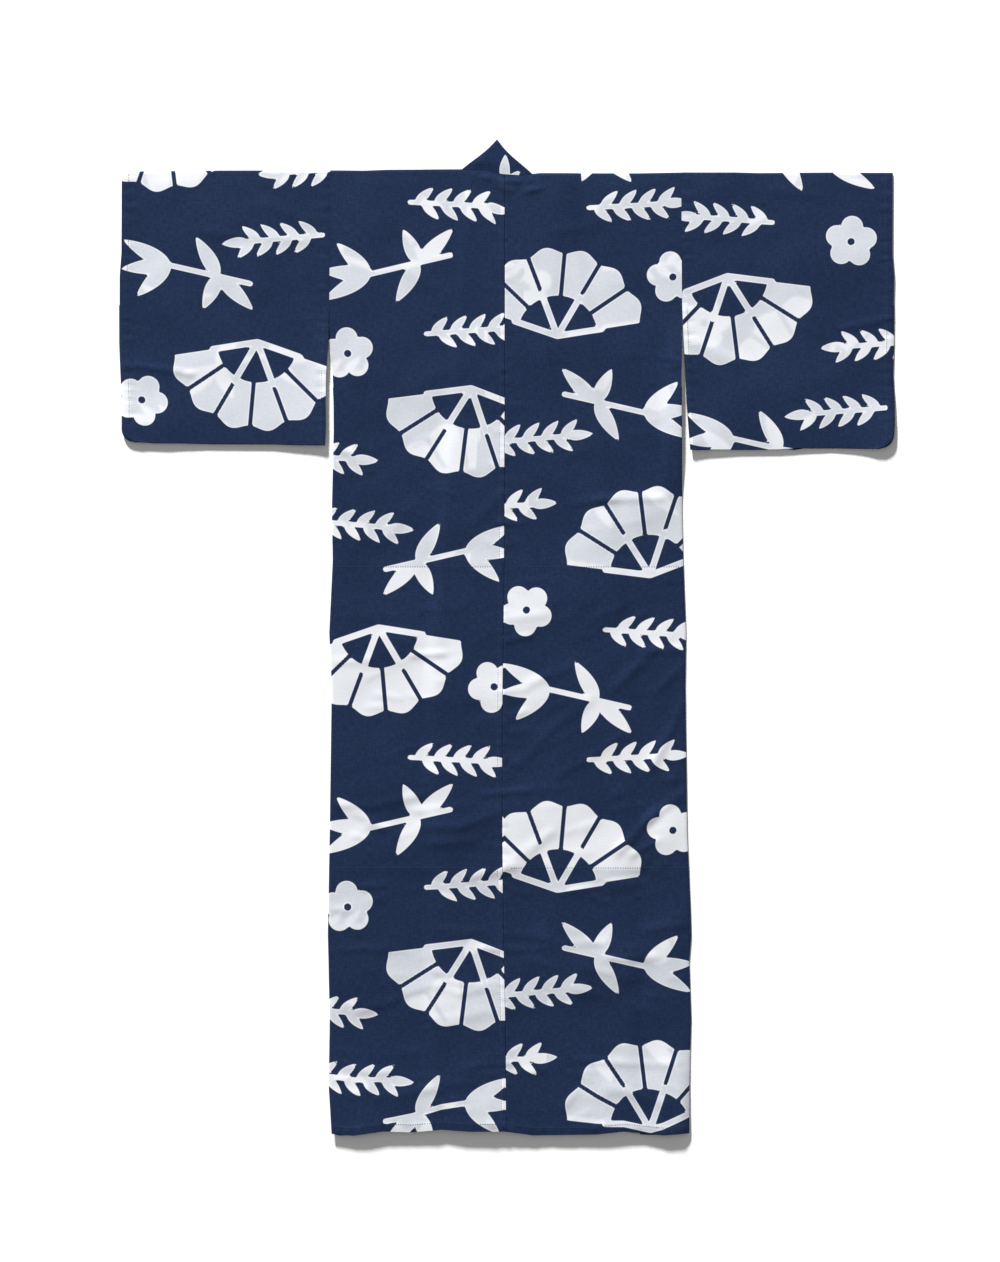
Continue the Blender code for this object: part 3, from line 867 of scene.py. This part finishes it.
def sleeve_height(side, x, down):
    """Middle of the upper wall of a sleeve."""
    inner = np.abs(x - sleeve_inner(side, down))
    outer = np.abs(x - sleeve_outer(side, down))
    inside = np.minimum(np.minimum(inner, outer), SLEEVE_DROP[side] - down)
    folds = relief(x, down, inside)
    folds = folds + pucker(down, outer - CUFF_BAND) + pucker(down, inner - FREE_BAND)
    free_hem = doubled(inner, FREE_BAND) * smooth((down - ARMHOLE) / FREE_HEM_RISE)
    hems = doubled(outer, CUFF_BAND) + free_hem
    return CLOTH / 2 + LAYER + sleeve_lift(side, x, down) + folds + DOUBLED * hems


def sleeve(side):
    """A flattened tube: folded at the top, seamed along the bottom and up to the cuff."""
    cut = ("sleeve", side)
    bottom = SLEEVE_DROP[side] - BEND
    start = bottom - SLEEVE_CORNER
    corner = start + SLEEVE_CORNER * np.sin(CORNER_TURN)
    down = np.concatenate([evenly(0.0, start, STEP), corner])[:, None]
    inner = sleeve_inner(side, down)
    outer = sleeve_outer(side, down) - side * BEND
    lower_x = mix(inner, outer, columns(SLEEVE_WIDTH, HIDDEN_STEP))
    cuff_x = outer - side * np.array(CUFF_COLUMNS)[None]
    body_x = inner + side * np.array(FREE_COLUMNS)[None]
    middle_x = mix(body_x[:, -1:], cuff_x[:, :1], columns(SLEEVE_MIDDLE))
    upper_x = np.hstack([body_x[:, :-1], middle_x, cuff_x[:, 1:]])[:, ::-1]
    upper_down = np.broadcast_to(down, upper_x.shape)
    lower_down = np.broadcast_to(down, lower_x.shape)
    upper_z = sleeve_height(side, upper_x, upper_down)
    lower_z = CLOTH / 2 + sleeve_lift(side, lower_x, lower_down)
    turn_z, reach = turned(lower_z[:, -1:], upper_z[:, :1])
    turn_x = outer + side * reach
    lowers = lower_x.shape[1]
    turns = lowers + turn_x.shape[1]
    x = np.hstack([lower_x, turn_x, upper_x])
    y = sleeve_y(side, x, down)
    peek = from_table(SLEEVE_PEEK, 1, lower_x) * smooth(1 - (bottom - lower_down) / PEEK_FADE)
    y[:, :lowers] -= peek
    z = np.hstack([lower_z, turn_z, upper_z])
    along = np.hstack([-lower_down, down + 0 * turn_x, upper_down])
    for end in (0, -1):
        low = np.interp(x[end][None] * side, lower_x[end] * side, lower_z[end])
        x, y, z, along = fold_over((x, y, z, along), low, end)
    across = np.abs(x - SEAM_X) - SLEEVE_START

    # No faces between the layers in the cuff's opening, and none doubled in the folds
    drop = np.zeros_like(x[1:, 1:], bool)
    drop[:FOLD_ROWS, :turns] = True
    drop[-FOLD_ROWS:, :turns] = True
    drop[FOLD_ROWS:-FOLD_ROWS, lowers - 1 : turns] |= down[:-1] < CUFF_OPENING

    prints = printed(cut, across, along)
    top_x, top_along = x[:, turns:], along[:, turns:]
    hems = np.abs(top_x - top_x[:, :1]) < CUFF_BAND
    hems |= (np.abs(top_x - top_x[:, -1:]) < FREE_BAND) & (top_along > ARMHOLE)
    ghost = prints.copy()
    ghost[:, turns:] = np.where(hems, 1.0, printed(cut, across[:, turns:], -top_along))
    name = f"sleeve_cloth_{NAMES[side]}"
    return cloth(name, (x, y, z), on_bolt(cut, across, along), prints, ghost, drop)


def neck_section(middle, facing):
    """Behind the neck the band lies straight across, and turns under at slanting sides."""
    x, y = middle[:, 0], middle[:, 1]
    return middle, np.array(facing), y - y_at(x, 0.0), x - SEAM_X


def collar_sections():
    """Sections of the folded band, from one end of it to the other: middle line, direction,
    and places across and along the cut."""
    shares = np.linspace(0.0, 1.0, COLLAR_COLUMNS)
    runs = {}
    turns = {}
    for side in (-1, 1):
        down = evenly(COLLAR_START, COLLAR_END, HIDDEN_STEP)[:, None]
        seam = collar_seam(side, down) - side * GAP / 2
        x = mix(seam, free_edge(side, down), shares[None])
        z = front_height(side, x, down) + (BAND - CLOTH) / 2
        places = np.stack([x, y_at(x, down), z], -1)
        along = side * (NECK_OUT[side] + down) + 0 * shares
        runs[side] = [
            (row, np.array((0.0, 0.0, -1.0)), shares * COLLAR_WIDTH, far)
            for row, far in zip(places, along)
        ]

        corner_x = neck_corner(side) - side * GAP / 2
        corner = np.array([corner_x, y_at(corner_x, 0.0) + NECK_CLEAR])
        peak = np.array([SEAM_X + side * PEAK_OUT[side], SHOULDER_Y + PEAK_RISE])
        run = (peak - corner) / np.hypot(*(peak - corner))
        outward = np.array([side * run[1], -side * run[0]])
        sag = PEAK_SAG[side] * np.sin(math.pi * shares**SAG_SHAPE)
        place = mix(corner, peak, shares[:, None]) - outward * sag[:, None]
        low = front_height(side, place[:, 0], 0.0) + (BAND - CLOTH) / 2
        flat = back_height(place[:, 0], np.zeros_like(shares)) + (BAND - CLOTH) / 2
        high = np.maximum(flat, low + BAND + GAP)
        bend = (high - low) / 2
        found = []
        for angle in COLLAR_TURN:
            out = np.minimum(bend, TURN_REACH) * math.sin(angle) - TURN_REACH
            past = PEAK_POINT * math.sin(angle) * shares
            sideways = place + outward * out[:, None] + run * past[:, None]
            height = low + bend * (1 + math.cos(angle))
            facing = (*(outward * math.sin(angle)), math.cos(angle))
            found.append(neck_section(np.column_stack([sideways, height]), facing))
        turns[side] = found
    behind = []
    left, right = turns[-1][0][0], turns[1][0][0]
    for share in evenly(0.0, 1.0, STEP / (NECK_OUT[-1] + NECK_OUT[1]))[1:-1]:
        row = mix(left, right, share)
        seam = row[0, 0]
        row[:, 1] += (y_at(seam, 0.0) + GAP - row[0, 1]) * (1 - shares)
        low = back_height(np.array([seam]), np.zeros(1))[0] - NECK_SINK
        row[:, 2] += (low - row[0, 2]) * smooth(1 - shares)
        behind.append(neck_section(row, (0.0, 0.0, 1.0)))
    return runs[-1][::-1] + turns[-1][::-1] + behind + turns[1] + runs[1]


def collar():
    """One band, folded double along its free edge and sewn on along the other."""
    cut = ("collar", 0)
    full = (BAND - WALL) / 2
    risen = smooth(np.linspace(0.0, 1 / PRESSED_REACH, COLLAR_COLUMNS))
    half = mix(SEAM_PRESSED, 1.0, risen)[:, None] * full
    rows, widths, lengths = [], [], []
    for middle, facing, across, along in collar_sections():
        ahead = middle[-1] - middle[-2]
        edge = middle[-1] + ahead / np.linalg.norm(ahead) * full
        rows.append(np.vstack([middle + facing * half, edge, (middle - facing * half)[::-1]]))
        widths.append(np.concatenate([across, across[-1:], 2 * COLLAR_WIDTH - across[::-1]]))
        lengths.append(np.concatenate([along, along[-1:], along[::-1]]))
    places, across, along = np.array(rows), np.array(widths), np.array(lengths)
    prints = printed(cut, across, along)
    ghost = printed(cut, 2 * COLLAR_WIDTH - across, along)
    places = tuple(np.moveaxis(places, -1, 0))
    return cloth("collar_band", places, on_bolt(cut, across, along), prints, ghost)


def hip_lining():
    """The plain cloth inside the back, over the hips."""
    down = evenly(LINING_TOP, LINING_END, LINING_GRID)[:, None]
    left = side_edge(-1, down) + LINING_INSET
    right = side_edge(1, down) - LINING_INSET
    x = mix(left, right, columns(LINING_WIDTH, LINING_GRID))
    down = np.broadcast_to(down, x.shape)
    z = back_height(x, down) - LINING_UNDER
    nothing = np.zeros_like(x)
    return cloth("hip_lining_cloth", (x, y_at(x, down), z), (x, down), nothing, nothing)


# Stitches


def stitch_shape():
    """One stitch of thread along X, sunk a little at both ends."""
    level, sloping, dip, thinner = 0.6, 0.2, 0.35, 0.5
    bpy.ops.object.select_all(action="DESELECT")
    bpy.ops.mesh.primitive_cylinder_add(
        vertices=6,
        radius=STITCH_WIDTH / 2,
        depth=STITCH_LENGTH * level,
        rotation=(0, math.pi / 2, 0),
    )
    made = bpy.context.object
    bpy.ops.object.transform_apply(location=True, rotation=True, scale=True)
    bpy.ops.object.mode_set(mode="EDIT")
    shape = bmesh.from_edit_mesh(made.data)
    for end in (-1, 1):
        for face in shape.faces:
            face.select = face.normal.x * end > 0.9
        bmesh.update_edit_mesh(made.data)
        move = (end * STITCH_LENGTH * sloping, 0, -STITCH_WIDTH * dip)
        bpy.ops.mesh.extrude_region_move(TRANSFORM_OT_translate={"value": move})
        bpy.ops.transform.resize(value=(1.0, thinner, thinner))
        bpy.ops.mesh.select_all(action="DESELECT")
    bpy.ops.object.mode_set(mode="OBJECT")
    points = np.array([vertex.co for vertex in made.data.vertices])
    faces = [tuple(face.vertices) for face in made.data.polygons]
    bpy.data.objects.remove(made, do_unlink=True)
    return points, faces


def stitch_line(x, y, z):
    """Places and directions of the stitches along a path of close points."""
    run = np.concatenate([[0.0], np.cumsum(np.hypot(np.diff(x), np.diff(y)))])
    spots = np.arange(STITCH_PITCH / 2, run[-1], STITCH_PITCH)
    spots = spots + rng.uniform(-STITCH_WANDER, STITCH_WANDER, len(spots))
    places = np.column_stack([np.interp(spots, run, values) for values in (x, y, z)])
    ahead = np.column_stack([np.interp(spots + 0.001, run, values) for values in (x, y)])
    turns = np.arctan2(ahead[:, 1] - places[:, 1], ahead[:, 0] - places[:, 0])
    return np.column_stack([places, turns])


def stitches(name, lines, finish):
    """Copies of the stitch, all along some lines, as one mesh."""
    spots = np.vstack(lines)
    cos, sin = np.cos(spots[:, 3:4]), np.sin(spots[:, 3:4])
    x = STITCH[0][None, :, 0] * cos - STITCH[0][None, :, 1] * sin + spots[:, :1]
    y = STITCH[0][None, :, 0] * sin + STITCH[0][None, :, 1] * cos + spots[:, 1:2]
    z = STITCH[0][None, :, 2] + spots[:, 2:3]
    points = np.stack([x, y, z], -1).reshape(-1, 3)
    count = len(STITCH[0])
    faces = [
        tuple(corner + count * number for corner in face)
        for number in range(len(spots))
        for face in STITCH[1]
    ]
    mesh = bpy.data.meshes.new(name)
    mesh.from_pydata(points.tolist(), [], faces)
    made = bpy.data.objects.new(name, mesh)
    bpy.context.collection.objects.link(made)
    made.data.materials.append(finish)
    made.data.shade_smooth()
    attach(made, "root")
    return made


def back_stitches(side, finish):
    """The lines that show on one side of the back: centre seam, hem and hip lining."""
    top = WALL / 2 - STITCH_SINK
    lines = []
    if side < 0:
        down = evenly(LINE_STOP, LENGTH - LINE_INSET, STEP)
        jog = JOG * smooth((down - JOG_START) / JOG_RISE) * smooth((JOG_END - down) / JOG_FALL)
        x = seam_x(down) - ALLOWANCE - jog
        z = back_height(x, down) + DOUBLED * ON_ALLOWANCE + top
        lines.append(stitch_line(x, y_at(x, down), z))
    for line, rise in ((LENGTH - HEM_STITCHES, DOUBLED / 2), (LINING_TOP, 0), (LINING_END, 0)):
        x = evenly(SEAM_X + side * LINE_START, side_edge(side, line) - side * LINE_INSET, STEP)
        at = np.full_like(x, line)
        lines.append(stitch_line(x, y_at(x, at), back_height(x, at) + rise + top))
    return stitches(f"back_stitches_{NAMES[side]}", lines, finish)


def sleeve_stitches(side, finish):
    """The hems of the cuff and of the sleeve's inner edge."""
    top = WALL / 2 - STITCH_SINK + DOUBLED
    lines = []
    for inset, start, edge in (
        (-CUFF_STITCHES, LINE_INSET, sleeve_outer),
        (FREE_STITCHES, ARMHOLE + LINE_INSET, sleeve_inner),
    ):
        down = evenly(start, SLEEVE_DROP[side] - LINE_STOP, STEP)
        x = edge(side, np.minimum(down, SLEEVE_DROP[side] - SLEEVE_CORNER)) + side * inset
        height = sleeve_height(side, x, down) - DOUBLED + top
        lines.append(stitch_line(x, sleeve_y(side, x, down), height))
    return stitches(f"sleeve_stitches_{NAMES[side]}", lines, finish)


# Materials


def colour(hex_code, gain=1.0):
    """sRGB hex to linear."""
    parts = [int(hex_code[place : place + 2], 16) / 255 for place in (1, 3, 5)]
    linear = [part / 12.92 if part <= 0.04045 else ((part + 0.055) / 1.055) ** 2.4 for part in parts]
    return (*(part * gain for part in linear), 1.0)


def add(tree, kind, inputs=None, **settings):
    """Adds a node with its settings, and its inputs as values or links."""
    made = tree.nodes.new("ShaderNode" + kind)
    for name, value in settings.items():
        setattr(made, name, value)
    for name, value in (inputs or {}).items():
        if isinstance(value, bpy.types.NodeSocket):
            tree.links.new(value, made.inputs[name])
        else:
            made.inputs[name].default_value = value
    return made


def new_material(name):
    made = bpy.data.materials.new(name)
    made.use_nodes = True
    made.node_tree.nodes.clear()
    return made, made.node_tree


def close(tree, inputs):
    shader = add(tree, "BsdfPrincipled", inputs)
    add(tree, "OutputMaterial", {"Surface": shader.outputs["BSDF"]})


# Yarns are 0.4 mm apart. At this distance they only show where they are thick or thin, as
# slubs, which are drawn about 3 mm wide and 1 cm long so that they show in the render.
SLUB_WIDTH = 0.0027
SLUB_LENGTH = 0.011
CLOUD = 0.110
RIM = 0.0024  # the print is whitest along its edges


def weave(tree):
    """How thick the yarns are at a place, warp and weft together, around 0.5."""
    place = add(tree, "UVMap", uv_map="UVMap").outputs["UV"]
    found = []
    for wide, long in ((SLUB_WIDTH, SLUB_LENGTH), (SLUB_LENGTH, SLUB_WIDTH)):
        stretched = add(tree, "Mapping", {"Vector": place, "Scale": (1 / wide, 1 / long, 1.0)})
        look = {"Vector": stretched.outputs["Vector"], "Scale": 1.0, "Detail": 3.0, "Roughness": 0.6}
        found.append(add(tree, "TexNoise", look, noise_dimensions="2D").outputs["Fac"])
    both = add(tree, "Math", {0: found[0], 1: found[1]}, operation="ADD")
    half = add(tree, "Math", {0: both.outputs[0], 1: 0.5}, operation="MULTIPLY")
    look = {"Vector": place, "Scale": 1 / CLOUD, "Detail": 2.0}
    cloud = add(tree, "TexNoise", look, noise_dimensions="2D")
    return half.outputs[0], cloud.outputs["Fac"]


def blend(tree, share, first, second):
    made = add(tree, "Mix", {0: share, 6: first, 7: second}, data_type="RGBA")
    return made.outputs[2]


def spread(tree, value, low, high, to_low=0.0, to_high=1.0, how="LINEAR"):
    limits = {"Value": value, "From Min": low, "From Max": high, "To Min": to_low, "To Max": to_high}
    return add(tree, "MapRange", limits, interpolation_type=how).outputs["Result"]


def printed_cotton():
    """Plain-woven cotton, resist-printed with indigo. Matt, a little thin: the layer below
    shows through the white of the print, brighter where that layer is white too."""
    made, tree = new_material("indigo_resist_printed_cotton")
    slub, cloud = weave(tree)
    thick = spread(tree, slub, 0.31, 0.69)
    inside = add(tree, "Attribute", attribute_name="print").outputs["Fac"]
    below = add(tree, "Attribute", attribute_name="ghost").outputs["Fac"]
    white = spread(tree, inside, -0.0005, 0.0007)
    backed = spread(tree, below, -0.0045, 0.0045, how="SMOOTHSTEP")
    faint = blend(tree, thick, colour("#17253F", GAIN), colour("#243455", GAIN))
    strong = blend(tree, thick, colour("#16243E", GAIN), colour("#213151", GAIN))
    indigo = blend(tree, spread(tree, cloud, 0.35, 0.65), faint, strong)
    over_dark = blend(tree, thick, colour("#CACED6", GAIN), colour("#D4D8DF", GAIN))
    over_white = blend(tree, thick, colour("#E1E4E9", GAIN), colour("#E8EAEE", GAIN))
    pale = blend(tree, backed, over_dark, over_white)
    rim = spread(tree, inside, RIM, RIM * 0.4, to_high=0.65)
    pale = blend(tree, rim, pale, colour("#F2F3F6", GAIN))
    tint = blend(tree, white, indigo, pale)
    bump = add(tree, "Bump", {"Height": slub, "Strength": 0.2, "Distance": 0.0004})
    look = {"Base Color": tint, "Roughness": 0.92, "Specular IOR Level": 0.08}
    look.update({"Sheen Weight": 0.02, "Sheen Roughness": 0.45, "Normal": bump.outputs["Normal"]})
    close(tree, look)
    return made


def plain_cotton():
    """Bleached plain-woven cotton, as matt as the printed one."""
    made, tree = new_material("bleached_cotton")
    slub, _ = weave(tree)
    thick = spread(tree, slub, 0.30, 0.70)
    tint = blend(tree, thick, colour("#DDE0E6", GAIN), colour("#E8EAEE", GAIN))
    bump = add(tree, "Bump", {"Height": slub, "Strength": 0.25, "Distance": 0.0004})
    look = {"Base Color": tint, "Roughness": 0.92, "Specular IOR Level": 0.18}
    close(tree, {**look, "Normal": bump.outputs["Normal"]})
    return made


def sewing_thread():
    """Spun cotton thread dyed dark blue, finely mottled for its twist."""
    made, tree = new_material("dyed_cotton_thread")
    place = add(tree, "TexCoord").outputs["Object"]
    twist = add(tree, "TexNoise", {"Vector": place, "Scale": 1 / 0.0008, "Detail": 1.0})
    tint = blend(tree, twist.outputs["Fac"], colour("#1E2A45", GAIN), colour("#2C3854", GAIN))
    close(tree, {"Base Color": tint, "Roughness": 0.75, "Specular IOR Level": 0.25})
    return made


# The scene, seen and lit

VIEW = (-0.0126, 0.0134)
VIEW_HEIGHT = 6.0
FRAME_LENGTH = 2.1896  # the photo's long side, on the floor
LAMP_RISE = math.radians(16)  # a low lamp beyond the collar gives the shadow at each lower edge
LAMP_TURN = math.radians(17)  # it stands a little to the left
LAMP_DISTANCE = 22.0
LAMP_SIZE = 2.4
LAMP_WATTS = 17300
SKY = 0.302
FLOOR_TINT = "#F5F5F5"
FLOOR_SIZE = 60.0
GAIN = 0.79  # from the photo's colours to the cloth's own under these lamps
NAMES = {-1: "left", 1: "right"}


def set_view():
    lens = bpy.data.cameras.new("overhead")
    lens.sensor_width = 36.0
    lens.lens = lens.sensor_width * VIEW_HEIGHT / FRAME_LENGTH
    camera = bpy.data.objects.new("overhead", lens)
    camera.location = (*VIEW, VIEW_HEIGHT)
    bpy.context.collection.objects.link(camera)
    bpy.context.scene.camera = camera


def set_lights():
    lamp = bpy.data.lights.new("soft_key", "AREA")
    lamp.shape = "DISK"
    lamp.size = LAMP_SIZE
    lamp.energy = LAMP_WATTS
    made = bpy.data.objects.new("soft_key", lamp)
    flat = LAMP_DISTANCE * math.cos(LAMP_RISE)
    made.location = (
        -flat * math.sin(LAMP_TURN),
        flat * math.cos(LAMP_TURN),
        LAMP_DISTANCE * math.sin(LAMP_RISE),
    )
    made.rotation_euler = (math.pi / 2 - LAMP_RISE, 0, math.pi + LAMP_TURN)
    made.visible_camera = False
    bpy.context.collection.objects.link(made)
    world = bpy.data.worlds.new("pale_studio")
    bpy.context.scene.world = world
    world.use_nodes = True
    world.node_tree.nodes["Background"].inputs["Color"].default_value = (1, 1, 1, 1)
    world.node_tree.nodes["Background"].inputs["Strength"].default_value = SKY
    bpy.context.scene.view_settings.view_transform = "Standard"


def set_floor():
    bpy.ops.object.select_all(action="DESELECT")
    bpy.ops.mesh.primitive_plane_add(size=FLOOR_SIZE)
    floor = bpy.context.object
    floor.name = "pale_floor"
    made, tree = new_material("matt_white_paper")
    close(tree, {"Base Color": colour(FLOOR_TINT), "Roughness": 1.0, "Specular IOR Level": 0.0})
    floor.data.materials.append(made)


set_view()
set_lights()
set_floor()

cotton = printed_cotton()
thread = sewing_thread()
STITCH = stitch_shape()

for side in (-1, 1):
    panel = body_panel(side)
    dress(panel, cotton, f"body_{NAMES[side]}")
    sewing = back_stitches(side, thread)

    overlap = overlap_panel(side)
    dress(overlap, cotton, f"overlap_{NAMES[side]}")

    tube = sleeve(side)
    dress(tube, cotton, f"sleeve_{NAMES[side]}")
    sewing = sleeve_stitches(side, thread)

band = collar()
dress(band, cotton, "collar")

lining = hip_lining()
dress(lining, plain_cotton(), "hip_lining")
